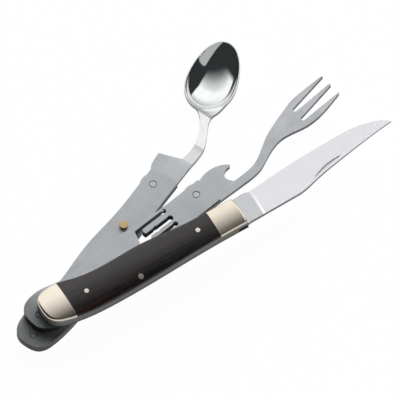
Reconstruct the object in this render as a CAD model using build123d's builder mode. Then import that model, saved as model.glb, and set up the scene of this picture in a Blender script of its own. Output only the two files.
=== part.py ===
"""Picnic cutlery: a knife, a fork with a bottle opener and a spoon, each folding into a
handle of its own.  The three handles stack into one and lock with studs and keyholes;
here they lie fanned out, one on the other, with every tool open."""
from build123d import *
from math import atan2, cos, radians, sin, sqrt, tan
import os

os.makedirs("parts", exist_ok=True)

# ------------------------------------------------------------------ driving sizes, mm
LINER_T = 1.0            # steel plate on each side of a handle
CORE_T = 2.5             # spring and spacer between the plates
TOOL_T = 2.3             # spoon, fork and blade stock
BOLSTER_T = 2.8          # bolsters and wood above the front plate, at their crown
BOLSTER_ROUND = 1.2      # rounding of their upper edges
NOSE_CORNER_R = 1.3      # the front bolster's two upright corners
DOME_SIDE_T = 0.5        # height of the crown's arc at its two ends
DOME_MID = -0.8          # the crown's middle, across the handle
DOME_HALF = 12.4         # half the crown's width
PIN_IN_BOLSTER = 0.9     # blind ends of the knife's pivot and butt pins
STACK_GAP = 0.9          # air between one handle and the next

# handle outline, measured from the tool's pivot: x along the handle, y across it
NOSE_X = 7.0             # front end of the plates
EDGE_Y = 5.3             # opening edge, above the pivot
SPINE_Y = 9.0            # spine edge at the nose, below the pivot
SWELL_X, SWELL_Y = 45.0, 6.9     # finger swell on the opening edge
WAIST_X, WAIST_Y = 60.0, 6.3
RISE_X, RISE_Y = 80.0, 7.8       # where the opening edge climbs to the butt's lobe
BELLY_X, BELLY_Y = 64.0, 11.6    # deepest place of the spine
FLANK_X, FLANK_Y = 30.0, 10.1    # spine between the nose and the belly
LOBE_BACK, LOBE_Y = 11.0, 9.7    # the butt's upper lobe, forward of the butt end
HEEL_BACK, HEEL_Y = 7.0, 9.1     # the butt's lower corner, forward of the butt end
HEEL_SLOPE = 0.28
NOSE_SLANT = 1.6         # the plates' upper front corner, behind the nose
TIP_GAP = 1.7            # room beyond the folded blade's tip
BUTT_WALL = 9.3          # solid spacer between the well and the butt end

# pins and studs
PIVOT_R = 1.6
PIVOT_PLAY = 0.05
BUTT_PIN_R = 1.6
BUTT_PIN_BACK = 5.4      # from the butt end
SPRING_PIN_R = 1.3
SPRING_PIN_X, SPRING_PIN_Y = 52.0, 8.0
SCALE_PIN_R = 1.1
FRONT_PIN_BACK, FRONT_PIN_Y = 8.0, 1.25      # behind the front bolster, below the pivot
REAR_PIN_AHEAD, REAR_PIN_Y = 9.85, 1.8       # ahead of the rear bolster
PIN_PROUD = 0.05         # pin ends above the wood
RING = 0.3               # bevel that leaves a ring-shaped groove round each pin end
STUD_X, STUD_Y = 25.4, 1.45
STUD_NECK_R = 1.15
STUD_HEAD_R = 1.95
STUD_HEAD_T = 0.7
NECK_PLAY = 0.1

# spring and well
SPRING_Y = 6.4           # inner edge of the spring under the tang
WELL_REAR_Y = 5.9        # inner edge towards the butt
WELL_CORNER_R = 3.0
TANG_R = 6.2             # round back of each tang
SHOULDER_GAP = 0.1       # tang shoulder to spring end when open
PLATE_LIP = 0.5          # plates beyond the blade's tang, along the spine

# keyhole in both plates of the fork handle
KEY_FRONT_X = 17.0       # closed ends of the three slots
KEY_SLOT_R = 0.75        # half the width of the two outer slots
KEY_RELIEF_R = 1.2
KEY_TOP_Y = 3.25         # middle of the upper slot
KEY_LOW_Y = 5.3          # middle of the lower slot, below the pivot
KEY_WAY_R = 1.25         # half the width of the stud's own slot
KEY_WAY_RELIEF_R = 1.4
KEY_SEAT_R = 1.55
TONGUE_TOP_X = 31.0      # tips of the two tongues
TONGUE_LOW_X = 30.0
TONGUE_TIP_R = 0.9
KEY_BACK_X = 34.0        # the entry's rear edge, at its upper corner
KEY_SLANT = 0.31         # how far that edge leans back for each millimetre down

# bolsters and wood on the knife
FRONT_JOINT_X = 9.5      # wood meets the front bolster
REAR_BOLSTER_L = 13.0    # rear bolster, to the butt end
BOLSTER_NOSE_X = 5.3
NOSE_R = 41.0            # round front of the bolster
NOSE_MID_Y = -3.8
NOSE_LIP = 0.3           # plates in front of the bolster
TAB_X, TAB_L, TAB_Y = 73.5, 3.0, 7.7     # small upstand on the front plate's edge

# blade
BLADE_TIP = (89.3, 3.1)
RICASSO_TOP = ((5.3, 5.6), (10.5, 6.0))
CHOIL_X, CHOIL_Y = 13.8, 5.3
CHOIL_L = 0.8
EDGE_RISE_Y = 5.6        # start of the cutting edge
EDGE_LINE = ((43.0, 8.5), (62.0, 9.4), (79.0, 8.3))
EDGE_TOP = 9.6           # height where the ground faces meet
BLADE_BACK = ((63.0, -1.0), (43.0, -5.3))
SPINE_HUMP = (34.0, -7.4)
EDGE_LAND = 0.3          # thickness left at the cutting edge
NICK_AT = (52.0, -1.9)   # middle of the nail nick's straight side
NICK_TURN = 13.2
NICK_TILT = 3.0          # its floor is deepest at the straight side
NICK_L, NICK_W = 17.5, 1.3
NICK_DEPTH = 1.15
PLUNGE = 1.5             # run of the slope where the grind starts, for 1 of depth

# fork
FORK_START = (6.3, 5.0)
FORK_HUMP = (13.3, 6.1)
HOOK_TIP = ((22.3, 2.15), (21.6, 1.4))
HOOK_THROAT = ((18.6, 1.1), (16.3, -1.9), (17.7, -4.9), (20.8, -5.65))
FORK_TOP = ((31.0, -4.9), (44.0, 1.9), (60.0, 7.45), (83.6, 9.5))
FORK_END = ((84.6, 3.5), (84.0, -2.8))
FORK_LOW = ((62.0, -5.6), (48.5, -3.35), (36.0, -7.2), (24.0, -9.7))
FORK_SHOULDER_Y = 9.2
SLOT_ROOT_X, SLOT_END_X = 62.8, 85.6
SLOTS = ((3.2, 5.0, 4.2, 9.1), (-2.7, -0.9, -2.0, 3.3))      # root low, top; end low, top
SLOT_ROOT_R = 0.7

# spoon
SPOON_START = (6.4, 5.7)
SPOON_HUMP = ((10.4, 7.2), (15.2, 7.5))
SPOON_DROP = ((16.6, 3.0), (18.9, -3.2))
SPOON_NECK_TOP = ((29.5, -2.6), (42.3, 3.5), (45.2, 6.8), (46.4, 10.4))
SPOON_NECK_LOW = ((55.8, -2.4), (49.4, -1.7), (45.9, -0.8), (41.5, -2.0), (31.0, -7.2),
                  (24.0, -8.4))
SPOON_SHOULDER_Y = 8.8
CRANK_START, CRANK_END = 19.0, 30.0      # where the neck drops behind the handle
BEHIND_GAP = 0.35        # neck and rim below the back plate
BOWL_AT = (59.6, 9.5)
BOWL_TURN = 16.2
BOWL_REAR, BOWL_FRONT = 14.3, 23.4       # from the widest place to each end
BOWL_HALF = 12.1
BOWL_DEPTH = 6.6
BOWL_WALL = 1.0          # metal at the bottom of the bowl
RIM_WALL = 0.55          # and at its rim
RIM_EDGE = 1.2           # cut off the swell outside the rim, which leaves an upright edge
BOWL_LIFT = 4.0          # centre of the bowl's round above its rim
HOLLOW_AT = (-9.0, -2.5) # shallow hollow where the bowl runs out towards the neck
HOLLOW_R, HOLLOW_DEPTH, HOLLOW_LIFT = 6.4, 2.0, 3.0

# where the fork's pivot lies, and the other two from it, with the turn of each handle
FORK_AT = (7.84, -13.33)
SPOON_OUT = (-10.0, 19.14)
SPOON_TURN = 14.26
KNIFE_OUT = (3.65, -19.1)
KNIFE_TURN = -9.66

# ------------------------------------------------------------------ derived sizes
HANDLE_T = 2 * LINER_T + CORE_T
SIDE_PLAY = (CORE_T - TOOL_T) / 2
TOOL_Z = LINER_T + SIDE_PLAY
WELL_END = BLADE_TIP[0] + TIP_GAP
BUTT_X = WELL_END + BUTT_WALL
BUTT_PIN_X = BUTT_X - BUTT_PIN_BACK
REAR_JOINT_X = BUTT_X - REAR_BOLSTER_L
SCALE_PINS = ((-FRONT_JOINT_X - FRONT_PIN_BACK, -FRONT_PIN_Y),
              (-REAR_JOINT_X + REAR_PIN_AHEAD, -REAR_PIN_Y))
STUD_NECK_T = LINER_T + NECK_PLAY
SPOON_Z = BEHIND_GAP + BOWL_DEPTH
FORK_Z = SPOON_Z + HANDLE_T + STACK_GAP
KNIFE_Z = FORK_Z + HANDLE_T + STACK_GAP
ABOVE = 12.0             # reach of a cutting sketch past the handle's edges


def unit_plane(out, turn, height):
    """The plane of one handle's back face, with its origin on the pivot."""
    x_dir = (cos(radians(turn)), sin(radians(turn)), 0)
    return Plane(origin=(FORK_AT[0] + out[0], FORK_AT[1] + out[1], height), x_dir=x_dir,
                 z_dir=(0, 0, 1))


SPOON_BACK = unit_plane(SPOON_OUT, SPOON_TURN, SPOON_Z)
FORK_BACK = unit_plane((0, 0), 0, FORK_Z)
KNIFE_BACK = unit_plane(KNIFE_OUT, KNIFE_TURN, KNIFE_Z)


# ------------------------------------------------------------------ shared outlines
def handle_outline():
    """A handle plate seen from the front: swell and lobe above, belly below."""
    lobe = (-(BUTT_X - LOBE_BACK), LOBE_Y)
    heel = (-(BUTT_X - HEEL_BACK), -HEEL_Y)
    nose_top = (NOSE_X - NOSE_SLANT, EDGE_Y)
    nose_low = (NOSE_X, -SPINE_Y)
    with BuildSketch() as face:
        with BuildLine():
            Spline(nose_top, (-SWELL_X / 2, EDGE_Y), (-SWELL_X, SWELL_Y),
                   (-WAIST_X, WAIST_Y), (-RISE_X, RISE_Y), lobe, tangents=((-1, 0), (-1, 0)))
            Spline(lobe, (-BUTT_X, 0), heel, tangents=((-1, 0), (1, -HEEL_SLOPE)))
            Spline(heel, (-BELLY_X, -BELLY_Y), (-FLANK_X, -FLANK_Y), nose_low,
                   tangents=((1, -HEEL_SLOPE), (1, 0)))
            ThreePointArc(nose_low, (NOSE_X, 0), nose_top)
        make_face()
    return face.sketch


def round_nose(lip=0.0):
    """The round front that the knife's plates and bolster are cut to."""
    with BuildSketch() as face:
        with Locations((BOLSTER_NOSE_X - NOSE_R, NOSE_MID_Y)):
            Circle(NOSE_R + lip)
        with Locations((BOLSTER_NOSE_X - NOSE_R, NOSE_MID_Y)):
            Rectangle(2 * BUTT_X, 2 * NOSE_R, align=(Align.MAX, Align.CENTER))
    return face.sketch


def spring_outline():
    """Spring along the spine and solid spacer at the butt, in one piece."""
    with BuildSketch() as face:
        add(handle_outline())
        with BuildSketch(mode=Mode.SUBTRACT) as well:
            with BuildLine():
                Polyline((ABOVE, -SPRING_Y), (0, -SPRING_Y), (-WELL_END, -WELL_REAR_Y),
                         (-WELL_END, 2 * ABOVE), (ABOVE, 2 * ABOVE), close=True)
            make_face()
            fillet(well.vertices().sort_by(Axis.X)[:2].sort_by(Axis.Y)[:1], WELL_CORNER_R)
        with BuildSketch(mode=Mode.SUBTRACT):
            Rectangle(2 * ABOVE, 4 * ABOVE, align=(Align.MIN, Align.CENTER))
    return face.sketch


def keyhole():
    """Entry opening and two tongues: the way between the tongues takes the stud, and the
    slots outside them let them spring apart as the stud snaps into its seat."""
    top, low = KEY_TOP_Y + KEY_SLOT_R, -KEY_LOW_Y - KEY_SLOT_R
    with BuildSketch() as cut:
        with BuildLine():
            Polyline((-KEY_FRONT_X, top), (-KEY_BACK_X, top),
                     (-KEY_BACK_X - KEY_SLANT * (top - low), low), (-KEY_FRONT_X, low),
                     close=True)
        make_face()
        for tip_x, side_y, way_y in ((TONGUE_TOP_X, top - 2 * KEY_SLOT_R, KEY_WAY_R - STUD_Y),
                                     (TONGUE_LOW_X, low + 2 * KEY_SLOT_R, -KEY_WAY_R - STUD_Y)):
            with BuildSketch(mode=Mode.SUBTRACT) as tongue:
                with Locations(((-KEY_FRONT_X - tip_x) / 2, (side_y + way_y) / 2)):
                    Rectangle(tip_x - KEY_FRONT_X, abs(side_y - way_y))
                fillet(tongue.vertices().group_by(Axis.X)[0], TONGUE_TIP_R)
        for height, radius in ((KEY_TOP_Y, KEY_RELIEF_R), (-STUD_Y, KEY_WAY_RELIEF_R),
                               (-KEY_LOW_Y, KEY_RELIEF_R)):
            with Locations((-KEY_FRONT_X, height)):
                Circle(radius)
        with Locations((-STUD_X, -STUD_Y)):
            Circle(KEY_SEAT_R)
    return cut.sketch


# ------------------------------------------------------------------ shared pieces
def make_liner(plane, extra_holes=(), cut=None, nose=None, tab=False, bevel_face=None):
    """One plate with its pin holes; extra_holes holds (x, y, radius).  bevel_face is 0 for
    bevelled hole edges on the plate's back, -1 for its front, None for neither."""
    holes = ((0, 0, PIVOT_R), (-SPRING_PIN_X, -SPRING_PIN_Y, SPRING_PIN_R),
             (-BUTT_PIN_X, 0, BUTT_PIN_R), *extra_holes)
    with BuildPart() as liner:
        with BuildSketch(plane):
            add(handle_outline())
            for x, y, radius in holes:
                with Locations((x, y)):
                    Circle(radius, mode=Mode.SUBTRACT)
            if cut is not None:
                add(cut, mode=Mode.SUBTRACT)
            if nose is not None:
                add(nose, mode=Mode.INTERSECT)
            if tab:
                with Locations((-TAB_X, 0)):
                    Rectangle(TAB_L, TAB_Y, align=(Align.CENTER, Align.MIN))
        extrude(amount=LINER_T)
        if bevel_face is not None:
            face = liner.faces().sort_by(Axis.Z)[bevel_face]
            chamfer(face.edges().filter_by(lambda edge: edge.is_closed), RING)
    return liner


def make_spring(plane):
    with BuildPart() as spring:
        with BuildSketch(plane.offset(LINER_T)):
            add(spring_outline())
            with Locations((-SPRING_PIN_X, -SPRING_PIN_Y)):
                Circle(SPRING_PIN_R, mode=Mode.SUBTRACT)
            with Locations((-BUTT_PIN_X, 0)):
                Circle(BUTT_PIN_R, mode=Mode.SUBTRACT)
        extrude(amount=CORE_T)
    return spring


def make_pin(plane, x, y, radius, length):
    """A pin from the back plate's outer face, bevelled at both ends."""
    with BuildPart() as pin:
        with BuildSketch(plane):
            with Locations((x, y)):
                Circle(radius)
        extrude(amount=length)
        chamfer(pin.edges().filter_by(GeomType.CIRCLE), RING)
    return pin


def make_stud(plane, start, side):
    """Stem in the plate, neck for the keyhole and a wider head; side is +1 or -1."""
    with BuildPart() as stud:
        with BuildSketch(plane.offset(start)):
            with Locations((-STUD_X, -STUD_Y)):
                Circle(STUD_NECK_R)
        extrude(amount=side * (LINER_T + STUD_NECK_T))
        with BuildSketch(plane.offset(start + side * (LINER_T + STUD_NECK_T))):
            with Locations((-STUD_X, -STUD_Y)):
                Circle(STUD_HEAD_R)
        extrude(amount=side * STUD_HEAD_T)
    return stud


def write(piece, name):
    piece.part.label = name
    export_step(piece.part, f"parts/{name}.step")
    box = piece.part.bounding_box()
    print(f"{name:24s} z {box.min.Z:7.2f} .. {box.max.Z:7.2f}")


# ------------------------------------------------------------------ the three handles
STUD_HOLE = (-STUD_X, -STUD_Y, STUD_NECK_R)
SCALE_PIN_HOLES = tuple((x, y, SCALE_PIN_R) for x, y in SCALE_PINS)

for unit, back in (("spoon", SPOON_BACK), ("fork", FORK_BACK), ("knife", KNIFE_BACK)):
    front = back.offset(LINER_T + CORE_T)
    front_holes = {"spoon": (STUD_HOLE,), "fork": (), "knife": SCALE_PIN_HOLES}[unit]
    back_holes = {"spoon": (), "fork": (), "knife": (STUD_HOLE,)}[unit]
    lock = keyhole() if unit == "fork" else None
    nose = round_nose(NOSE_LIP) if unit == "knife" else None
    write(make_liner(back, back_holes, lock, nose, bevel_face=0), f"{unit}_back_liner")
    write(make_liner(front, front_holes, lock, nose, tab=unit == "knife",
                     bevel_face=None if unit == "knife" else -1), f"{unit}_front_liner")
    write(make_spring(back), f"{unit}_spring")
    pivot_l = HANDLE_T + (PIN_IN_BOLSTER if unit == "knife" else 0)
    write(make_pin(back, 0, 0, PIVOT_R, pivot_l), f"{unit}_pivot_pin")
    write(make_pin(back, -BUTT_PIN_X, 0, BUTT_PIN_R, pivot_l), f"{unit}_butt_pin")

for unit, back in (("spoon", SPOON_BACK), ("fork", FORK_BACK)):
    write(make_pin(back, -SPRING_PIN_X, -SPRING_PIN_Y, SPRING_PIN_R, HANDLE_T),
          f"{unit}_spring_pin")

write(make_stud(SPOON_BACK, LINER_T + CORE_T, 1), "spoon_stud")
write(make_stud(KNIFE_BACK, LINER_T, -1), "knife_stud")


# ------------------------------------------------------------------ wood and bolsters
def across_plane(plane, x):
    """Upright plane across a handle at x, looking forward."""
    return Plane(origin=plane.from_local_coords((x, 0, 0)), x_dir=plane.y_dir,
                 z_dir=plane.x_dir)


def make_dome(raised=0.0):
    """A long bar with a crowned back: what lies under it is wood, bolster or pin end."""
    foot = HANDLE_T + DOME_SIDE_T + raised
    left, right = DOME_MID - DOME_HALF, DOME_MID + DOME_HALF
    with BuildPart() as dome:
        with BuildSketch(across_plane(KNIFE_BACK, -BUTT_X - ABOVE)):
            with BuildLine():
                ThreePointArc((left, foot), (DOME_MID, HANDLE_T + BOLSTER_T + raised),
                              (right, foot))
                Polyline((right, foot), (right, 0), (left, 0), (left, foot))
            make_face()
        extrude(amount=BUTT_X + 3 * ABOVE)
    return dome.part


with BuildPart() as cover:
    with BuildSketch(KNIFE_BACK.offset(HANDLE_T)) as plan:
        add(handle_outline())
        add(round_nose(), mode=Mode.INTERSECT)
        fillet(plan.vertices().sort_by(Axis((0, 0, 0), KNIFE_BACK.x_dir))[-2:], NOSE_CORNER_R)
    extrude(amount=2 * BOLSTER_T)
    add(make_dome(), mode=Mode.INTERSECT)
    crown = cover.faces().filter_by(GeomType.CYLINDER).sort_by(SortBy.AREA)[-1]
    fillet(crown.edges(), BOLSTER_ROUND)


def cut_cover(rear, front, holes=()):
    """The stretch of the crowned cover from x = rear to x = front."""
    with BuildPart() as piece:
        add(cover.part)
        with BuildSketch(KNIFE_BACK):
            with Locations((rear, 0)):
                Rectangle(front - rear, 4 * ABOVE, align=(Align.MIN, Align.CENTER))
            for x, y, radius in holes:
                with Locations((x, y)):
                    Circle(radius, mode=Mode.SUBTRACT)
        extrude(amount=HANDLE_T + 2 * BOLSTER_T, mode=Mode.INTERSECT)
    return piece


def make_scale_pin(spots, radius, start):
    """Pins ground to the wood's crown."""
    with BuildPart() as pins:
        with BuildSketch(KNIFE_BACK.offset(start)):
            with Locations(*spots):
                Circle(radius)
        extrude(amount=HANDLE_T + 2 * BOLSTER_T - start)
        add(make_dome(PIN_PROUD), mode=Mode.INTERSECT)
    return pins


SPRING_PIN_SPOT = (-SPRING_PIN_X, -SPRING_PIN_Y)
WOOD_HOLES = (*SCALE_PIN_HOLES, (*SPRING_PIN_SPOT, SPRING_PIN_R))

write(cut_cover(-REAR_JOINT_X, -FRONT_JOINT_X, WOOD_HOLES), "knife_wood_scale")
with BuildPart() as pin_pocket:
    with BuildSketch(KNIFE_BACK):
        Circle(PIVOT_R)
        with Locations((-BUTT_PIN_X, 0)):
            Circle(BUTT_PIN_R)
    extrude(amount=HANDLE_T + PIN_IN_BOLSTER)
for name, rear, front in (("knife_front_bolster", -FRONT_JOINT_X, BOLSTER_NOSE_X),
                          ("knife_rear_bolster", -BUTT_X - ABOVE, -REAR_JOINT_X)):
    bolster = cut_cover(rear, front)
    with bolster:
        add(pin_pocket.part, mode=Mode.SUBTRACT)
    write(bolster, name)
write(make_scale_pin(SCALE_PINS, SCALE_PIN_R, LINER_T + CORE_T), "knife_scale_pins")
write(make_scale_pin((SPRING_PIN_SPOT,), SPRING_PIN_R, 0), "knife_spring_pin")


# ------------------------------------------------------------------ knife blade
def start_tang(shoulder_y):
    """Round back and square shoulder that every tool has at its pivot; the shoulder
    stands against the spring's end when the tool is open."""
    Circle(TANG_R)
    with Locations((SHOULDER_GAP, 0)):
        Rectangle(TANG_R, shoulder_y, align=(Align.MIN, Align.MAX))


with BuildPart() as blade:
    tool_plane = KNIFE_BACK.offset(TOOL_Z)
    choil_top, choil_low = RICASSO_TOP[1], (CHOIL_X, CHOIL_Y)
    edge_start = (CHOIL_X + CHOIL_L, EDGE_RISE_Y)
    with BuildSketch(tool_plane):
        start_tang(SPINE_Y - PLATE_LIP)
        with BuildLine():
            Polyline((0, EDGE_Y), *RICASSO_TOP)
            Spline(choil_top, choil_low, edge_start, tangents=((1, 0), (1, 0.4)))
            Spline(edge_start, *EDGE_LINE, BLADE_TIP, tangents=((1, 0.12), (0.6, -0.8)))
            Spline(BLADE_TIP, *BLADE_BACK, SPINE_HUMP, tangents=((-1, -0.1), (-1, -0.1)))
            Polyline(SPINE_HUMP, (SHOULDER_GAP, PLATE_LIP - SPINE_Y), (SHOULDER_GAP, 0),
                     (0, EDGE_Y))
        make_face()
        Circle(PIVOT_R + PIVOT_PLAY, mode=Mode.SUBTRACT)
    extrude(amount=TOOL_T)
    stretch = sqrt(1 + PLUNGE ** 2)
    for face_z, way in ((0, -1), (TOOL_T, 1)):
        start = Plane(origin=tool_plane.from_local_coords((CHOIL_X, 0, face_z)),
                      x_dir=tool_plane.y_dir,
                      z_dir=tool_plane.x_dir + tool_plane.z_dir * (way * PLUNGE))
        land = -way * stretch * (TOOL_T - EDGE_LAND) / 2
        out = way * stretch * TOOL_T
        with BuildSketch(start):
            with BuildLine():
                Polyline((-SPINE_Y, 0), (EDGE_TOP, land), (ABOVE, land), (ABOVE, out),
                         (-SPINE_Y, out), close=True)
            make_face()
        extrude(amount=BLADE_TIP[0], dir=tool_plane.x_dir, mode=Mode.SUBTRACT)
    nick_floor = Plane(tool_plane.location
                       * Location((*NICK_AT, TOOL_T - NICK_DEPTH), (0, 0, NICK_TURN))
                       * Location((0, 0, 0), (NICK_TILT, 0, 0)))
    with BuildSketch(nick_floor):
        with BuildLine():
            ThreePointArc((-NICK_L / 2, 0), (0, NICK_W), (NICK_L / 2, 0))
            Line((NICK_L / 2, 0), (-NICK_L / 2, 0))
        make_face()
    extrude(amount=TOOL_T, mode=Mode.SUBTRACT)
write(blade, "knife_blade")

# ------------------------------------------------------------------ fork
with BuildPart() as fork:
    with BuildSketch(FORK_BACK.offset(TOOL_Z)):
        start_tang(FORK_SHOULDER_Y)
        tip_out, tip_in = HOOK_TIP
        with BuildLine():
            Line((0, EDGE_Y), FORK_START)
            Spline(FORK_START, FORK_HUMP, tip_out, tangents=((1, 0.4), (1, -1)))
            Line(tip_out, tip_in)
            Spline(tip_in, *HOOK_THROAT, tangents=((-1, -0.1), (1, 0)))
            Spline(HOOK_THROAT[-1], *FORK_TOP, tangents=((1, 0), (1, 0)))
            Spline(FORK_TOP[-1], *FORK_END, tangents=((1, -0.1), (-1, -0.1)))
            Spline(FORK_END[-1], *FORK_LOW, tangents=((-1, -0.25), (-1, 0)))
            Polyline(FORK_LOW[-1], (SHOULDER_GAP, -FORK_SHOULDER_Y), (SHOULDER_GAP, 0),
                     (0, EDGE_Y))
        make_face()
        for root_low, root_top, end_low, end_top in SLOTS:
            with BuildSketch(mode=Mode.SUBTRACT) as slot:
                with BuildLine():
                    Polyline((SLOT_ROOT_X, root_low), (SLOT_END_X, end_low),
                             (SLOT_END_X, end_top), (SLOT_ROOT_X, root_top), close=True)
                make_face()
                fillet(slot.vertices().sort_by(Axis.X)[:2], SLOT_ROOT_R)
        Circle(PIVOT_R + PIVOT_PLAY, mode=Mode.SUBTRACT)
    extrude(amount=TOOL_T)
write(fork, "fork")


# ------------------------------------------------------------------ spoon
def make_egg(solid, rim, spread, height):
    """Two halves of a round solid, stretched to the bowl's egg outline; rim is how far
    inside that outline it stays."""
    halves = []
    for length, side in ((BOWL_REAR, Keep.BOTTOM), (BOWL_FRONT, Keep.TOP)):
        reach = ((length - rim) * spread, (BOWL_HALF - rim) * spread, height)
        halves.append(split(scale(solid, by=reach), bisect_by=Plane.YZ, keep=side))
    return halves[0] + halves[1]


def make_cap(rim, depth):
    """An egg-shaped cap under the rim plane; its centre lies above the rim."""
    tall = depth + BOWL_LIFT
    cap = Location((0, 0, BOWL_LIFT)) * make_egg(
        Sphere(1), rim, 1 / sqrt(1 - (BOWL_LIFT / tall) ** 2), tall)
    return split(cap, bisect_by=Plane.XY.offset(BOWL_LIFT), keep=Keep.BOTTOM)


rim_place = (SPOON_BACK.offset(-BEHIND_GAP).location
             * Location((*BOWL_AT, 0), (0, 0, BOWL_TURN)))
bowl_outer = split(make_cap(-RIM_EDGE, BOWL_DEPTH) & make_egg(Cylinder(1, 2), 0, 1, BOWL_DEPTH),
                   bisect_by=Plane.XY, keep=Keep.BOTTOM)
bowl_inner = make_cap(RIM_WALL, BOWL_DEPTH - BOWL_WALL)
hollow_tall = HOLLOW_DEPTH + HOLLOW_LIFT
hollow_reach = HOLLOW_R / sqrt(1 - (HOLLOW_LIFT / hollow_tall) ** 2)
hollow = Location((*HOLLOW_AT, HOLLOW_LIFT)) * scale(
    Sphere(1), by=(hollow_reach, hollow_reach, hollow_tall))

with BuildPart() as spoon:
    with BuildSketch(SPOON_BACK.offset(-BOWL_DEPTH)):
        start_tang(SPOON_SHOULDER_Y)
        with BuildLine():
            Line((0, EDGE_Y), SPOON_START)
            Spline(SPOON_START, *SPOON_HUMP, tangents=((1, 0.9), (1, 0)))
            Polyline(SPOON_HUMP[-1], *SPOON_DROP)
            Spline(SPOON_DROP[-1], *SPOON_NECK_TOP, tangents=((1, -0.1), (0.3, 1)))
            Line(SPOON_NECK_TOP[-1], SPOON_NECK_LOW[0])
            Spline(*SPOON_NECK_LOW, (SHOULDER_GAP, -SPOON_SHOULDER_Y),
                   tangents=((-1, 0.05), (-1, -0.02)))
            Polyline((SHOULDER_GAP, -SPOON_SHOULDER_Y), (SHOULDER_GAP, 0), (0, EDGE_Y))
        make_face()
        Circle(PIVOT_R + PIVOT_PLAY, mode=Mode.SUBTRACT)
    extrude(amount=BOWL_DEPTH + HANDLE_T)
    side_plane = Plane(origin=SPOON_BACK.from_local_coords((0, -2 * ABOVE, 0)),
                       x_dir=SPOON_BACK.x_dir, z_dir=-SPOON_BACK.y_dir)
    neck_top, neck_low = -BEHIND_GAP, -BEHIND_GAP - TOOL_T
    drop = TOOL_Z - neck_low
    skew = TOOL_T * tan(atan2(drop, CRANK_END - CRANK_START) / 2)
    with BuildSketch(side_plane, mode=Mode.PRIVATE) as profile:
        with BuildLine():
            Polyline((-ABOVE, TOOL_Z), (CRANK_START - skew, TOOL_Z),
                     (CRANK_END - skew, neck_low),
                     (BOWL_AT[0], neck_low), (BOWL_AT[0], neck_top), (CRANK_END, neck_top),
                     (CRANK_START, TOOL_Z + TOOL_T), (-ABOVE, TOOL_Z + TOOL_T), close=True)
        make_face()
    extrude(profile.sketch, amount=-5 * ABOVE, mode=Mode.INTERSECT)
    add(rim_place * bowl_outer)
    add(rim_place * bowl_inner, mode=Mode.SUBTRACT)
    add(rim_place * hollow, mode=Mode.SUBTRACT)
write(spoon, "spoon")
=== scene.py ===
# %% [markdown]
# # Folding picnic cutlery
# A spoon, a fork and a knife, each folded out of its own steel handle, with the three
# handles fanned out on each other.  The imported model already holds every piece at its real
# size.  This lesson keeps those shapes as they are and gives them a camera, studio light
# and finishes.

# %% Load the model
import math

import bpy
from mathutils import Matrix, Vector


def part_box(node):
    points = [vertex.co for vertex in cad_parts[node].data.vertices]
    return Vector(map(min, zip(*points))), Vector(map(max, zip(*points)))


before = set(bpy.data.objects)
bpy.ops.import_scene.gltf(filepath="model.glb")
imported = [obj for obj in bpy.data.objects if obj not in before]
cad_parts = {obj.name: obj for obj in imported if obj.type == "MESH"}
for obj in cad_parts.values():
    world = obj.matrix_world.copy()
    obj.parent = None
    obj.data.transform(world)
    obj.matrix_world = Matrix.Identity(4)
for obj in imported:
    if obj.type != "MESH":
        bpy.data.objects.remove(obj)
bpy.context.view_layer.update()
for word, place in (("spoon", "lowest"), ("fork", "middle"), ("knife", "top")):
    print(place, word, "has", sum(name.startswith(word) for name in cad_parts), "pieces")

# %% [markdown]
# ## Camera
# A product shot of cutlery is taken from far off with a long lens, so that straight edges
# stay parallel.  The camera looks down steeply and is turned so that the fork runs up to
# the right.  Three vectors say which way is up in the picture, which way is right, and
# where the camera is; later cells place the light by the same vectors.

# %% Camera
CAMERA_FAR = 8.0                      # metres from the set
VIEW_WIDE = 0.1852                    # width of the view at the set
CAMERA_HIGH = math.radians(63.8)      # above the table
CAMERA_TURN = math.radians(40.4)      # from the fork's direction to the picture's right
AIM = Vector((0.0105, -0.0129, 0.0071))

away = Vector((math.sin(CAMERA_TURN), math.cos(CAMERA_TURN), 0))
right = Vector((math.cos(CAMERA_TURN), -math.sin(CAMERA_TURN), 0))
to_camera = Vector((0, 0, math.sin(CAMERA_HIGH))) - away * math.cos(CAMERA_HIGH)

lens = bpy.data.cameras.new("camera")
lens.lens = lens.sensor_width * CAMERA_FAR / VIEW_WIDE
lens.clip_end = 3 * CAMERA_FAR
camera = bpy.data.objects.new("camera", lens)
bpy.context.scene.collection.objects.link(camera)
axes = Matrix((right, to_camera.cross(right), to_camera)).transposed()
camera.matrix_world = Matrix.Translation(AIM + to_camera * CAMERA_FAR) @ axes.to_4x4()
bpy.context.scene.camera = camera
bpy.context.scene.view_settings.view_transform = "Standard"
print(f"lens {lens.lens:.0f} mm, camera {camera.location.z:.2f} m above the table")

# %% [markdown]
# ## A short way to build shaders
# Every finish below is a small network of nodes.  Wired one line at a time that is long to
# read, so one helper adds a node and fills its inputs.  An input may be a number, a colour
# or the output of another node.

# %% Node helpers
def put(socket, value):
    """Fills an input with a constant, or links it to another node's output."""
    if isinstance(value, bpy.types.NodeSocket):
        socket.id_data.links.new(value, socket)
    else:
        socket.default_value = value


def node(tree, kind, inputs=(), **settings):
    """Adds a node, sets its options, then fills the inputs given by name or number."""
    made = tree.nodes.new(kind)
    for option, value in settings.items():
        setattr(made, option, value)
    for key, value in dict(inputs).items():
        put(made.inputs[key], value)
    return made


def math_node(tree, operation, *values):
    return node(tree, "ShaderNodeMath", enumerate(values), operation=operation).outputs[0]


def ramp(tree, value, start, end, low=0.0, high=1.0):
    """A soft step: low before start, high after end."""
    return node(tree, "ShaderNodeMapRange", {"Value": value, "From Min": start,
                "From Max": end, "To Min": low, "To Max": high},
                interpolation_type="SMOOTHSTEP").outputs["Result"]


def mix(tree, share, first, second):
    """Blends two colours."""
    made = node(tree, "ShaderNodeMix", data_type="RGBA")
    for socket, value in zip((made.inputs[0], made.inputs[6], made.inputs[7]),
                             (share, first, second)):
        put(socket, value)
    return made.outputs[2]


def grey(level):
    return (level, level, level, 1)


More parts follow.
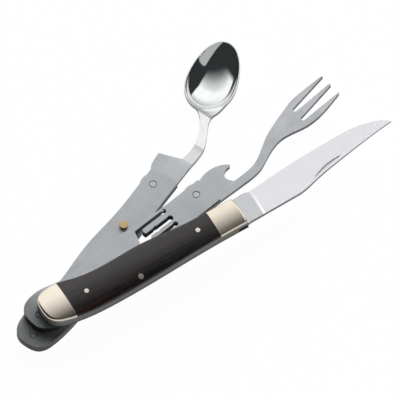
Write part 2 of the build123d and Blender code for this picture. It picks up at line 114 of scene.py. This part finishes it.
# %% [markdown]
# ## The room
# Polished steel shows whatever stands round it, so the room is most of the picture.  This
# table-top studio has one big soft box behind the set and a dim one over the viewer's right
# shoulder, and is dark elsewhere.  It could be built from lamps and cards, but a world
# shader that reads the direction of each ray does the same with less noise.  Each ray
# becomes two angles: how far it leans to the right, and how far round it has swung from
# the horizon behind the set, over the top, towards the camera.

# %% World
world = bpy.data.worlds.new("room")
world.use_nodes = True
bpy.context.scene.world = world
sky = world.node_tree
ray = node(sky, "ShaderNodeTexCoord").outputs["Generated"]


def along(direction):
    dot = node(sky, "ShaderNodeVectorMath", {0: ray, 1: direction}, operation="DOT_PRODUCT")
    return dot.outputs["Value"]


height = along((0, 0, 1))
lean = math_node(sky, "ARCSINE", along(right))
swing = math_node(sky, "ARCTAN2", height, along(away))
print("nodes that turn a ray into angles:", len(sky.nodes))


def step(value, start, end, low=0.0, high=1.0):
    """The soft step, with its start and end in degrees."""
    return ramp(sky, value, math.radians(start), math.radians(end), low, high)


def times(*values):
    product = values[0]
    for value in values[1:]:
        product = math_node(sky, "MULTIPLY", product, value)
    return product


# %% [markdown]
# A soft box has straight edges, and a straight edge is a plane through the place where the
# ray starts.  So each edge is given by two directions on it, and the plane's normal says on
# which side of the edge a ray passes.

# %% Straight edges
def toward(lean_degrees, swing_degrees):
    """The direction with this lean and swing."""
    tilt, turned = math.radians(lean_degrees), math.radians(swing_degrees)
    level = away * math.cos(turned) + Vector((0, 0, math.sin(turned)))
    return right * math.sin(tilt) + level * math.cos(tilt)


def inside(middle_of_box, first, second, soft):
    """1 on the box's side of the edge through two directions, 0 on the other side."""
    normal = toward(*first).cross(toward(*second)).normalized()
    if normal.dot(toward(*middle_of_box)) < 0:
        normal.negate()
    return ramp(sky, along(normal), -soft, soft)


print("straight up is", [round(part, 3) for part in toward(0, 90)])

# %% [markdown]
# The big box has two straight sides.  It fades out at its top, lower down and more slowly
# on the left, and it is dimmer near the table, most of all on the right.

# %% Big soft box
BIG_MIDDLE = (0, 40)                     # lean and swing, in degrees
LEFT_EDGE = ((-54, 15), (-36, 70))
RIGHT_EDGE = ((48, 15), (37, 70))
LEFT_SOFT, RIGHT_SOFT = 0.06, 0.04       # half widths of the edges' blur
FADE_START, FADE_END = math.radians(52.5), math.radians(86)
START_RISE, END_RISE = 0.45, 0.18        # how much the fade climbs with the lean
RIGHT_GLOW, LEFT_GLOW = 0.42, 0.95       # levels beside the table
GLOW_LEANS = (25, -50)                   # where they hold
GLOW_TOP = 42                            # swing where the box reaches its full level

fade_start = math_node(sky, "MULTIPLY_ADD", lean, START_RISE, FADE_START)
fade_end = math_node(sky, "MULTIPLY_ADD", lean, END_RISE, FADE_END)
top_fade = ramp(sky, swing, fade_start, fade_end, 1, 0)
low_glow = step(lean, *GLOW_LEANS, RIGHT_GLOW, LEFT_GLOW)
big_box = times(inside(BIG_MIDDLE, *LEFT_EDGE, LEFT_SOFT),
                inside(BIG_MIDDLE, *RIGHT_EDGE, RIGHT_SOFT),
                top_fade, step(swing, 0, GLOW_TOP, low_glow, 1.0))
print("big box from", LEFT_EDGE[0][0], "to", RIGHT_EDGE[0][0], "degrees near the table")

# %% [markdown]
# The dim box shows three of its edges, and has no end above.  Below the horizon, and for a
# degree or two over it, the room is as bright as the table, as if that had no end.

# %% Dim box and the rest of the room
DIM_MIDDLE = (45, 130)
DIM_EDGES = (((0, 142), (35, 103.3), 0.03),      # two directions on the edge, and its blur
             ((38, 97), (66, 120), 0.02),
             ((66, 120), (74, 150), 0.02))
DIM_LEVEL = 0.42
LOW_BAND = math.sin(math.radians(1))
DARK = (0.026, 0.031, 0.031, 1)
ROOM_STRENGTH = 1.25

dim_box = times(*(inside(DIM_MIDDLE, *edge) for edge in DIM_EDGES), DIM_LEVEL)
table_line = ramp(sky, height, LOW_BAND, 2 * LOW_BAND, 1, 0)
light_level = math_node(sky, "MAXIMUM", math_node(sky, "MAXIMUM", big_box, dim_box), table_line)
backing = sky.nodes["Background"]
put(backing.inputs["Color"], mix(sky, light_level, DARK, grey(1)))
put(backing.inputs["Strength"], ROOM_STRENGTH)
print("room nodes:", len(sky.nodes))

# %% [markdown]
# ## Key light
# The boxes above are what the metal mirrors.  Wood and table also need plain light, so one
# broad lamp shines from behind the set, a little to the right.  It is left out of mirror
# reflections, where the soft box already stands for it.

# %% Lamp
KEY_HIGH = math.radians(55)
KEY_RIGHT = math.radians(18)
KEY_BROAD = math.radians(30)
KEY_ENERGY = 2.1

lamp = bpy.data.lights.new("key", "SUN")
lamp.energy = KEY_ENERGY
lamp.angle = KEY_BROAD
key = bpy.data.objects.new("key", lamp)
bpy.context.scene.collection.objects.link(key)
key.visible_glossy = False
flat_way = away * math.cos(KEY_RIGHT) + right * math.sin(KEY_RIGHT)
key_way = flat_way * math.cos(KEY_HIGH) + Vector((0, 0, math.sin(KEY_HIGH)))
key.rotation_mode = "QUATERNION"
key.rotation_quaternion = key_way.to_track_quat("Z", "Y")
print("lamp points from", [round(c, 2) for c in key_way])

# %% [markdown]
# ## Table
# The cutlery lies on a plain white sheet.  To the camera, and in mirror reflections, most
# of the sheet's white is its own, so the background stays clean.  The rest is ordinary
# paper that takes the cutlery's soft shadow.

# %% Table top
TABLE_HALF = 6.0      # metres
corners = [(x * TABLE_HALF, y * TABLE_HALF, 0) for x, y in ((-1, -1), (1, -1), (1, 1), (-1, 1))]
sheet_mesh = bpy.data.meshes.new("table")
sheet_mesh.from_pydata(corners, [], [range(len(corners))])
table = bpy.data.objects.new("table", sheet_mesh)
bpy.context.scene.collection.objects.link(table)
print("table", 2 * TABLE_HALF, "m wide")

# %% White paper
OWN_WHITE = 0.97      # share of the white that is the sheet's own
PAPER = grey(0.92)

paper = bpy.data.materials.new("white paper")
paper.use_nodes = True
tree = paper.node_tree
matt = tree.nodes["Principled BSDF"]
put(matt.inputs["Base Color"], PAPER)
put(matt.inputs["Roughness"], 1.0)
put(matt.inputs["Specular IOR Level"], 0.0)
seen = node(tree, "ShaderNodeLightPath")
seen_share = math_node(tree, "ADD", math_node(tree, "ADD", seen.outputs["Is Camera Ray"],
                       seen.outputs["Is Glossy Ray"]), seen.outputs["Is Transmission Ray"])
white = node(tree, "ShaderNodeEmission", {"Color": grey(1), "Strength": 1.0})
blend = node(tree, "ShaderNodeMixShader",
             {0: math_node(tree, "MULTIPLY", seen_share, OWN_WHITE),
              1: matt.outputs[0], 2: white.outputs[0]})
put(tree.nodes["Material Output"].inputs["Surface"], blend.outputs[0])
sheet_mesh.materials.append(paper)
print("paper nodes:", len(tree.nodes))

# %% [markdown]
# ## Which way each tool points
# Brushed steel and wood have a direction.  Each handle has a pin at its butt and one at its
# pivot, so the line between the two gives the direction of everything in that handle.

# %% Directions
def middle(name):
    low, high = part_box(name)
    return (Vector(low) + Vector(high)) / 2


turn = {}
for tool in ("spoon", "fork", "knife"):
    reach = middle(f"{tool}_pivot_pin") - middle(f"{tool}_butt_pin")
    turn[tool] = math.atan2(reach.y, reach.x)
    print(f"{tool} handle: {reach.length * 1000:.1f} mm between pins, "
          f"turned {math.degrees(turn[tool]):.2f} degrees")

# %% [markdown]
# ## Shared surface effects
# Five effects come back in several finishes, so each is a node group with named sockets: a
# brushed grain, the distance along a tool, smudges from handling, the dull sides of stamped
# parts, and the light line on a worn edge.  A group only puts out values, masks and
# normals; the shader itself stays in each material.

# %% Group helper
def new_group(name, inputs, outputs):
    """An empty node group; returns it with its own inputs and outputs to wire."""
    group = bpy.data.node_groups.new(name, "ShaderNodeTree")
    for label, value in inputs.items():
        socket = group.interface.new_socket(label, in_out="INPUT", socket_type="NodeSocketFloat")
        socket.default_value = value
    for label, kind in outputs.items():
        group.interface.new_socket(label, in_out="OUTPUT", socket_type=f"NodeSocket{kind}")
    return group, node(group, "NodeGroupInput").outputs, node(group, "NodeGroupOutput").inputs


def stretched(tree, angle, stretch):
    """Coordinates on the piece, turned to its own direction and drawn out along it."""
    place = node(tree, "ShaderNodeTexCoord").outputs["Object"]
    turned = node(tree, "ShaderNodeVectorRotate", {"Vector": place, "Angle": angle},
                  rotation_type="Z_AXIS", invert=True).outputs["Vector"]
    return node(tree, "ShaderNodeVectorMath", {0: turned, 1: stretch},
                operation="MULTIPLY").outputs["Vector"]


# %% [markdown]
# Brushing leaves long fine lines.  Noise drawn out along the tool gives the lines, and a
# second, sparser noise, cut off high, gives a few deeper scratches.

# %% Brushed grain
LINE_STRETCH = (0.03, 1, 1)
SCRATCH_STRETCH = (0.06, 1, 1)
SCRATCH_TURN = 0.35                    # radians from the lines
GRAIN_LOW, GRAIN_HIGH = 0.28, 0.72     # noise levels that give no grain and full grain
SCRATCH_LOW, SCRATCH_HIGH = 0.70, 0.76

brushed, given, out = new_group("brushed grain", {"Turn": 0, "Lines per metre": 1500},
                                {"Grain": "Float", "Scratch": "Float"})
lines = node(brushed, "ShaderNodeTexNoise",
             {"Vector": stretched(brushed, given["Turn"], LINE_STRETCH),
              "Scale": given["Lines per metre"], "Detail": 5, "Roughness": 0.7})
put(out["Grain"], ramp(brushed, lines.outputs["Fac"], GRAIN_LOW, GRAIN_HIGH))
slant = math_node(brushed, "ADD", given["Turn"], SCRATCH_TURN)
scores = node(brushed, "ShaderNodeTexNoise",
              {"Vector": stretched(brushed, slant, SCRATCH_STRETCH),
               "Scale": given["Lines per metre"], "Detail": 1})
put(out["Scratch"], ramp(brushed, scores.outputs["Fac"], SCRATCH_LOW, SCRATCH_HIGH))
print(brushed.name, "nodes:", len(brushed.nodes))

# %% [markdown]
# One piece can change its finish along its length, so this group says how far a point lies
# from its tool's pivot.

# %% Along the tool
placed, given, out = new_group("along the tool", {"Turn": 0, "Pivot x": 0, "Pivot y": 0},
                               {"Distance": "Float"})
start = node(placed, "ShaderNodeCombineXYZ", {0: given["Pivot x"], 1: given["Pivot y"]})
from_start = node(placed, "ShaderNodeVectorMath",
                  {0: node(placed, "ShaderNodeTexCoord").outputs["Object"], 1: start.outputs[0]},
                  operation="SUBTRACT")
lengthwise = node(placed, "ShaderNodeVectorRotate",
                  {"Vector": from_start.outputs[0], "Angle": given["Turn"]},
                  rotation_type="Z_AXIS", invert=True)
put(out["Distance"], node(placed, "ShaderNodeSeparateXYZ",
                          {0: lengthwise.outputs[0]}).outputs["X"])
print(placed.name, "nodes:", len(placed.nodes))

# %% [markdown]
# Fingers leave soft cloudy patches that are a little duller than clean metal.

# %% Smudges
PATCH_LOW, PATCH_HIGH = 0.35, 0.7      # noise levels that give no smudge and a full one

smudged, given, out = new_group("smudges", {"Patches per metre": 90}, {"Smudge": "Float"})
cloud = node(smudged, "ShaderNodeTexNoise",
             {"Vector": node(smudged, "ShaderNodeTexCoord").outputs["Object"],
              "Scale": given["Patches per metre"], "Detail": 4, "Roughness": 0.6})
put(out["Smudge"], ramp(smudged, cloud.outputs["Fac"], PATCH_LOW, PATCH_HIGH))
print(smudged.name, "nodes:", len(smudged.nodes))

# %% [markdown]
# Plates and tools are stamped from sheet.  Their flat faces are finished, but their sides
# stay dull as the press and a coarse stone leave them, and are painted dark, partly for that
# finish and partly as painted shade.  All the sheets lie flat, so the upward part of a
# surface's own direction tells them apart: a side has almost none.  A second mask finds the
# faces that look up, for the painted shade on a back plate's inner face.

# %% Stamped sides
UPRIGHT, LEANING = 0.15, 0.30          # upward parts of a full side and of no side
LOOKS_OUT, LOOKS_UP = 0.5, 0.7         # upward parts of no top face and of a full one

sided, given, out = new_group("stamped sides", {}, {"Side": "Float", "Top": "Float"})
facing = node(sided, "ShaderNodeTexCoord").outputs["Normal"]
upward = node(sided, "ShaderNodeVectorMath", {0: facing, 1: (0, 0, 1)}, operation="DOT_PRODUCT")
flatness = math_node(sided, "ABSOLUTE", upward.outputs["Value"])
put(out["Side"], ramp(sided, flatness, UPRIGHT, LEANING, 1, 0))
put(out["Top"], ramp(sided, upward.outputs["Value"], LOOKS_OUT, LOOKS_UP))
print(sided.name, "nodes:", len(sided.nodes))

# %% [markdown]
# No real edge is perfectly sharp.  The Bevel node finds where a surface is near an edge and
# bends its normal there, as if the edge were rounded.  The difference from the true normal
# also makes a mask, for metal rubbed bright along its edges and for a painted glint there.

# %% Worn edges and painted glints
FLAT, BENT = 0.99, 0.80                # cosines between the two normals: no edge, full edge

worn, given, out = new_group("worn and glinting edges", {"Width": 0.0002},
                             {"Edge": "Float", "Normal": "Vector"})
rounded = node(worn, "ShaderNodeBevel", {"Radius": given["Width"]}, samples=6)
true_normal = node(worn, "ShaderNodeNewGeometry").outputs["Normal"]
same = node(worn, "ShaderNodeVectorMath", {0: rounded.outputs[0], 1: true_normal},
            operation="DOT_PRODUCT")
put(out["Edge"], ramp(worn, same.outputs["Value"], FLAT, BENT))
put(out["Normal"], rounded.outputs[0])
print(worn.name, "nodes:", len(worn.nodes))

# %% [markdown]
# ## Metal finishes
# All the metals are built the same way: the grain and the smudges shade the colour and the
# roughness a little, the grain also raises a fine relief, edges are lighter, as wear and a
# painted glint, and stamped sides darker, partly as painted shade.  One recipe holds that,
# and each finish gives its own numbers.  First come three small helpers: one places a group,
# and two darken or lighten a colour.

# %% Recipe helpers
def group_node(tree, group, **inputs):
    """Places a group; its inputs are given by their names in small letters."""
    named = {key.replace("_", " ").capitalize(): value for key, value in inputs.items()}
    return node(tree, "ShaderNodeGroup", named, node_tree=group).outputs


def shaded(colour, amount):
    return (*(part * amount for part in colour), 1)


def grained(tree, grain, colour, amount):
    """The colour, darker between the lines of the grain and lighter on them."""
    return mix(tree, grain, shaded(colour, 1 - amount), shaded(colour, 1 + amount))


print("white at half strength:", shaded((1, 1, 1), 0.5))

# %% [markdown]
# A tool isn't polished alike all along its length.  So a finish can hold zones: from one
# distance to the next the colour, the roughness and the height of the grain change to the
# zone's own, and each zone starts from what the one before it left.

# %% Zones along a tool
def distance_along(tree, tool):
    pivot = middle(f"{tool}_pivot_pin")
    return group_node(tree, placed, turn=turn[tool], pivot_x=pivot.x,
                      pivot_y=pivot.y)["Distance"]


def add_zone(tree, share, skin, colour, roughness, relief, patches):
    """skin holds colour, roughness and height; share is 0 before the zone and 1 in it.
    Where patches is 1 the zone is half as rough again."""
    old_colour, old_rough, old_height = skin
    rough = math_node(tree, "MULTIPLY_ADD", patches, roughness / 2, roughness)
    height_left = math_node(tree, "MULTIPLY_ADD", share, relief - 1, 1)
    return (mix(tree, share, old_colour, colour),
            node(tree, "ShaderNodeMix", {0: share, 2: old_rough, 3: rough}).outputs[0],
            math_node(tree, "MULTIPLY", old_height, height_left))


# %% [markdown]
# Use leaves three marks on metal: grey smudges, bright scratches and rubbed edges, whose
# light line is also a painted glint.  Each is one colour laid over the finish by its own
# mask.  The stamped sides come after them, dark partly as painted shade, with a still darker
# line where one sheet lies against the next.

# %% Wear and sides
# The edge grey is both a rubbed edge and a painted glint.
SMUDGE_GREY, EDGE_WEAR_AND_GLINT = grey(0.25), grey(0.9)
SCRATCH_GAIN = 1.2        # a scratch's colour, as a share of the metal's
SIDE_GRAIN = 0.2          # how strongly the grain shades a side
JOINT_SHADE = 0.25        # the line between two sheets, as a share of the side's colour
SIDE_ROUGHNESS = 0.5


def add_wear(tree, base, colour, *strengths_and_masks):
    """Takes the smudges, the scratches and the edges, each as a strength and a mask.  The
    edge's light line is wear and a painted glint together.
    """
    tones = SMUDGE_GREY, shaded(colour, SCRATCH_GAIN), EDGE_WEAR_AND_GLINT
    for (strength, mask), tone in zip(strengths_and_masks, tones):
        base = mix(tree, math_node(tree, "MULTIPLY", mask, strength), base, tone)
    return base


# A side's dark colour is partly its ground finish and partly painted shade.
def add_sides(tree, base, rough, side, grain, edge_mask, side_mask):
    wall = mix(tree, edge_mask, grained(tree, grain, side, SIDE_GRAIN), shaded(side, JOINT_SHADE))
    dull = math_node(tree, "MULTIPLY", side_mask, SIDE_ROUGHNESS)
    return mix(tree, side_mask, base, wall), math_node(tree, "MAXIMUM", rough, dull)


# %% [markdown]
# The recipe itself.  The grain is raised by a Bump node over the rounded edges.  Metallic
# is 1 for polished metal.  A satin surface also scatters a little light, and a Metallic
# somewhat below 1 stands for that, so that steel keeps its grey where it mirrors nothing
# but the dark part of the room.

# %% Metal recipe
SMUDGE_ROUGHNESS, GRAIN_ROUGHNESS = 0.08, 0.06      # what each adds to the roughness
POLISH_RUN = 0.003        # metres from satin to full polish
GRAIN_HEIGHT = 0.00005    # metres


def metal(name, colour, roughness, angle=0.0, lines=1500, grain_tone=0.06, smudge_tone=0.05,
          relief=0.04, edge=(0.00018, 0.3), scored=0.25, side=None, inner=None,
          tool=None, zones=(), metallic=1.0, polished_from=None, uneven=1.0):
    """A metal finish.  edge holds the width and the strength of the light line on an edge,
    which is wear and a painted glint together, scored is the strength of the scratches, side
    is the colour of the stamped sides, dark partly as painted shade, and inner is painted
    shade on the faces that look up.  zones lists (start, end, colour, roughness, relief)
    along the tool, in metres from its pivot; some zones paint light or shade into the colour.
    From polished_from on, Metallic is 1.  uneven scales how much the smudges and the grain
    change the roughness."""
    made = bpy.data.materials.new(name)
    made.use_nodes = True
    tree = made.node_tree
    shader = tree.nodes["Principled BSDF"]
    brush = group_node(tree, brushed, turn=angle, lines_per_metre=lines)
    grain = brush["Grain"]
    touch = group_node(tree, smudged)["Smudge"]
    rim = group_node(tree, worn, width=edge[0])
    facing = group_node(tree, sided)
    along_tool = distance_along(tree, tool) if zones else None

    rough = math_node(tree, "MULTIPLY_ADD", touch, SMUDGE_ROUGHNESS * uneven, roughness)
    rough = math_node(tree, "MULTIPLY_ADD", grain, GRAIN_ROUGHNESS * uneven, rough)
    skin = grained(tree, grain, colour, grain_tone), rough, grain
    patches = math_node(tree, "MULTIPLY", touch, uneven)
    for begin, end, zone_colour, zone_roughness, zone_relief in zones:
        skin = add_zone(tree, ramp(tree, along_tool, begin, end), skin,
                        grained(tree, grain, zone_colour, grain_tone),
                        zone_roughness, zone_relief, patches)
    base, rough, raised = skin

    # The light line on an edge is partly wear and partly a painted glint.
    base = add_wear(tree, base, colour, (smudge_tone, touch), (scored, brush["Scratch"]),
                    (edge[1], rim["Edge"]))
    # Faces that look up take a dark colour here: painted shade inside the handle.
    if inner:
        base = mix(tree, facing["Top"], base, grained(tree, grain, inner, grain_tone))
    # Sides take a dark colour, partly painted shade.
    if side:
        base, rough = add_sides(tree, base, rough, side, grain, rim["Edge"], facing["Side"])
    if polished_from:
        metallic = ramp(tree, along_tool, polished_from, polished_from + POLISH_RUN, metallic, 1)
    fine = node(tree, "ShaderNodeBump", {"Strength": relief, "Distance": GRAIN_HEIGHT,
                "Height": raised, "Normal": rim["Normal"]})
    put(shader.inputs["Base Color"], base)
    put(shader.inputs["Metallic"], metallic)
    put(shader.inputs["Roughness"], rough)
    put(shader.inputs["Normal"], fine.outputs["Normal"])
    return made


# %% [markdown]
# The plates are stainless sheet with a soft satin finish.  Towards the butts they are painted
# darker, as painted shade under the handles stacked above, and a back plate's inner face is
# painted dark as the shade inside the handle.  The springs show only their ground edges
# between the plates, and the pins are ground flush with them.  The sides are dark partly as
# painted shade, and the knife's handle has brighter sides than the two handles under it,
# whose sides carry more painted shade.

# %% Plates, springs and pins
SATIN = (0.525, 0.543, 0.562)
# A dark grey for the springs, and the painted shade at the butts, where the butt pins sit.
SPRING_GREY_AND_BUTT_SHADE = (0.22, 0.23, 0.235)
# Painted shade on a back plate's inner face, under the other layers.
INSIDE_PAINTED_SHADE = (0.05, 0.052, 0.055)
PIN_STEEL = (0.58, 0.59, 0.60)
WORN_PIN = (0.58, 0.52, 0.46)
SOFT = 0.70                          # Metallic of satin steel
PIN_TURN = math.radians(25)          # pins are ground at an angle to the handle
PIN_EDGE = (0.0001, 0.2)
# Painted shade towards the butt, where the handles above shade the plates.
BUTT_PAINTED_SHADE = (-0.082, -0.098, SPRING_GREY_AND_BUTT_SHADE, 0.4, 1.0)
# Colours of the stamped sides, dark partly as painted shade; the two lower handles take the most.
knife_sides_painted_dark = {"front_liner": (0.13, 0.128, 0.122), "spring": (0.105, 0.103, 0.098),
               "back_liner": (0.040, 0.040, 0.040)}
lower_sides_painted_dark = {"spoon": (0.042, 0.044, 0.047), "fork": (0.016, 0.017, 0.018)}

finishes = {}
for tool, angle in turn.items():
    for part, knife_side in knife_sides_painted_dark.items():
        finishes[f"{tool}_{part}"] = metal(
            f"{tool} {part}", SPRING_GREY_AND_BUTT_SHADE if part == "spring" else SATIN, 0.38, angle,
            edge=(0.00025, 0.2), side=lower_sides_painted_dark.get(tool, knife_side),
            inner=INSIDE_PAINTED_SHADE if part == "back_liner" else None, tool=tool,
            zones=(BUTT_PAINTED_SHADE,), metallic=SOFT)
    # The butt pins take the grey of the painted shade at the butts.
    for part in ("pivot_pin", "butt_pin", "spring_pin"):
        finishes[f"{tool}_{part}"] = metal(
            f"{tool} {part}", SPRING_GREY_AND_BUTT_SHADE if part == "butt_pin" else PIN_STEEL, 0.3,
            angle + PIN_TURN, edge=PIN_EDGE, metallic=SOFT)
finishes["knife_spring_pin"] = metal("worn pin", WORN_PIN, 0.3, angle=0.4, edge=PIN_EDGE)
print(len(finishes), "plates, springs and pins")

# %% [markdown]
# The fork is cut from thicker sheet and brushed along its length.  Its palm and tines,
# which go into the mouth, are brushed finer, and their colour is painted a little lighter as
# a painted highlight.

# %% Fork steel
# The palm zone is brushed finer and painted lighter, a painted highlight; the fork's dark sides
# are partly painted shade.
FINE_PALM_PAINTED_LIGHTER = (0.035, 0.060, (0.585, 0.60, 0.628), 0.36, 0.6)
finishes["fork"] = metal("satin fork", (0.535, 0.553, 0.573), 0.36, turn["fork"],
                         smudge_tone=0.02, side=(0.10, 0.105, 0.11), tool="fork",
                         zones=(FINE_PALM_PAINTED_LIGHTER,), metallic=SOFT)
print(f"fork brushed finer from {1000 * FINE_PALM_PAINTED_LIGHTER[0]:.0f} mm on")

# %% [markdown]
# The blade is ground across its length and shines more than the plates.  Its thick root,
# which is not ground, stays a little darker.  Where the grind starts, a white line is painted
# along the slope, a painted highlight.

# %% Blade steel
# The white zone where the grind starts is a painted highlight; the blade's dark sides are partly
# painted shade.
GRIND_PAINTED_HIGHLIGHT = (0.0136, 0.0139, (1.0, 1.0, 1.0), 0.2, 1.0)
GROUND = (0.0148, 0.0152, (0.72, 0.715, 0.745), 0.2, 1.0)
ACROSS = math.radians(90)
finishes["knife_blade"] = metal("ground blade", (0.65, 0.655, 0.675), 0.24,
                                turn["knife"] + ACROSS, lines=2500, grain_tone=0.008,
                                smudge_tone=0.006, relief=0.004, edge=(0.00004, 0.3),
                                scored=0.03, side=(0.15, 0.15, 0.16), tool="knife",
                                zones=(GRIND_PAINTED_HIGHLIGHT, GROUND), metallic=0.85, uneven=0.3)
print(f"blade ground from {1000 * GROUND[0]:.1f} mm on")

# %% [markdown]
# The bolsters are nickel silver, a warm white alloy, polished along the handle.  The small
# pins in the wood are polished steel, and the studs are turned brass.

# %% Bolsters, scale pins and studs
# The bolsters' dark sides are partly painted shade.
bolster = metal("nickel silver", (0.77, 0.69, 0.585), 0.10, turn["knife"], lines=900,
                grain_tone=0.02, smudge_tone=0.05, relief=0.008, edge=PIN_EDGE,
                side=(0.20, 0.175, 0.14))
brass = metal("turned brass", (0.66, 0.475, 0.245), 0.25, angle=0.9, edge=(0.0001, 0.3))
finishes["knife_front_bolster"] = finishes["knife_rear_bolster"] = bolster
finishes["spoon_stud"] = finishes["knife_stud"] = brass
finishes["knife_scale_pins"] = metal("bright pins", (0.86, 0.82, 0.76), 0.22, angle=0.6,
                                     edge=PIN_EDGE)
print(len(finishes), "pieces so far")

# %% [markdown]
# The spoon's tang is satin like the fork.  Its neck is brushed smoother, and its colour
# holds painted light: lighter from the neck's start, partly for the finer polish, painted
# darker where it bends down to the bowl's level as a painted reflection, and painted
# brightest after that as a painted highlight.  The root of the bowl is painted darker as the
# shade of its crease.  The bowl is polished until it is a mirror.  The spoon's sides stay
# dull all the way round, and their dark colour is partly painted shade.

# %% Spoon steel
POLISHED_FROM = 0.0447
# The neck's start is smoother and painted lighter, the bend is a painted reflection, the neck
# after it a painted highlight, the bowl's root painted shade, and the bowl the mirror's own
# colour.
spoon_polish_and_painted_light = (
    (0.015, 0.022, (0.67, 0.675, 0.68), 0.25, 0.6),           # start of the neck
    (0.0255, 0.0295, (0.52, 0.53, 0.54), 0.25, 0.6),          # the bend
    (0.0298, 0.0305, (0.935, 0.935, 0.935), 0.2, 0.5),        # neck after the bend
    (POLISHED_FROM, 0.0452, (0.42, 0.43, 0.44), 0.10, 0.0),   # root of the bowl
    (0.0454, 0.0485, (0.77, 0.78, 0.785), 0.035, 0.0))        # the bowl
finishes["spoon"] = metal("spoon steel", (0.57, 0.59, 0.607), 0.36, turn["spoon"],
                          side=(0.20, 0.205, 0.21), tool="spoon", zones=spoon_polish_and_painted_light,
                          metallic=SOFT, polished_from=POLISHED_FROM)
print("spoon has", len(spoon_polish_and_painted_light), "zones")

# %% [markdown]
# ## Wood
# The scale is a very dark, close-grained wood, oiled.  It has three layers of detail:
# broad reddish bands, fine fibres, and short pores.

# %% Dark wood
BAND_DARK, BAND_RED = (0.001, 0.0006, 0.0006, 1), (0.016, 0.004, 0.004, 1)
FIBRE_BROWN, FIBRE_SHARE = (0.010, 0.006, 0.006, 1), 0.4
PORE_BLACK, PORE_SHARE = (0.0005, 0.0005, 0.0005, 1), 0.8

wood = bpy.data.materials.new("dark wood")
wood.use_nodes = True
tree = wood.node_tree
shader = tree.nodes["Principled BSDF"]


def fibre(per_metre, stretch, start, end, detail=3):
    """Noise drawn out along the handle, 0 under the level start and 1 over end."""
    noise = node(tree, "ShaderNodeTexNoise",
                 {"Vector": stretched(tree, turn["knife"], (stretch, 1, 1)),
                  "Scale": per_metre, "Detail": detail, "Distortion": 0.2})
    return ramp(tree, noise.outputs["Fac"], start, end)


bands = fibre(per_metre=260, stretch=0.06, start=0.35, end=0.7)
fibres = fibre(per_metre=1500, stretch=0.02, start=0.3, end=0.7, detail=5)
pores = fibre(per_metre=2600, stretch=0.05, start=0.60, end=0.70, detail=1)
colour = mix(tree, bands, BAND_DARK, BAND_RED)
colour = mix(tree, math_node(tree, "MULTIPLY", fibres, FIBRE_SHARE), colour, FIBRE_BROWN)
colour = mix(tree, math_node(tree, "MULTIPLY", pores, PORE_SHARE), colour, PORE_BLACK)
put(shader.inputs["Base Color"], colour)
print("wood nodes for the colour:", len(tree.nodes))

# %% [markdown]
# Oil fills the wood and makes it shine, a little more on the fibres than between them.  The
# pores stay open, so they lie lower than the fibres.

# %% Oiled surface
OILED, FIBRE_SHINE = 0.22, -0.12       # roughness, and what a fibre takes off it
OIL_GLOSS = 0.65
WOOD_RELIEF, WOOD_HEIGHT = 0.35, 0.00006

put(shader.inputs["Roughness"], math_node(tree, "MULTIPLY_ADD", fibres, FIBRE_SHINE, OILED))
put(shader.inputs["Specular IOR Level"], OIL_GLOSS)
open_grain = math_node(tree, "SUBTRACT", fibres, pores)
raised = node(tree, "ShaderNodeBump", {"Strength": WOOD_RELIEF, "Distance": WOOD_HEIGHT,
              "Height": open_grain})
put(shader.inputs["Normal"], raised.outputs["Normal"])
finishes["knife_wood_scale"] = wood
print("wood nodes:", len(tree.nodes))

# %% [markdown]
# ## Dressing the pieces
# Each piece of the model takes its finish.  None is left in the plain grey it came in.

# %% Put the finishes on
for name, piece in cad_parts.items():
    piece.data.materials.clear()
    piece.data.materials.append(finishes[name])
print(len(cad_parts), "pieces dressed in", len(set(finishes.values())), "finishes")
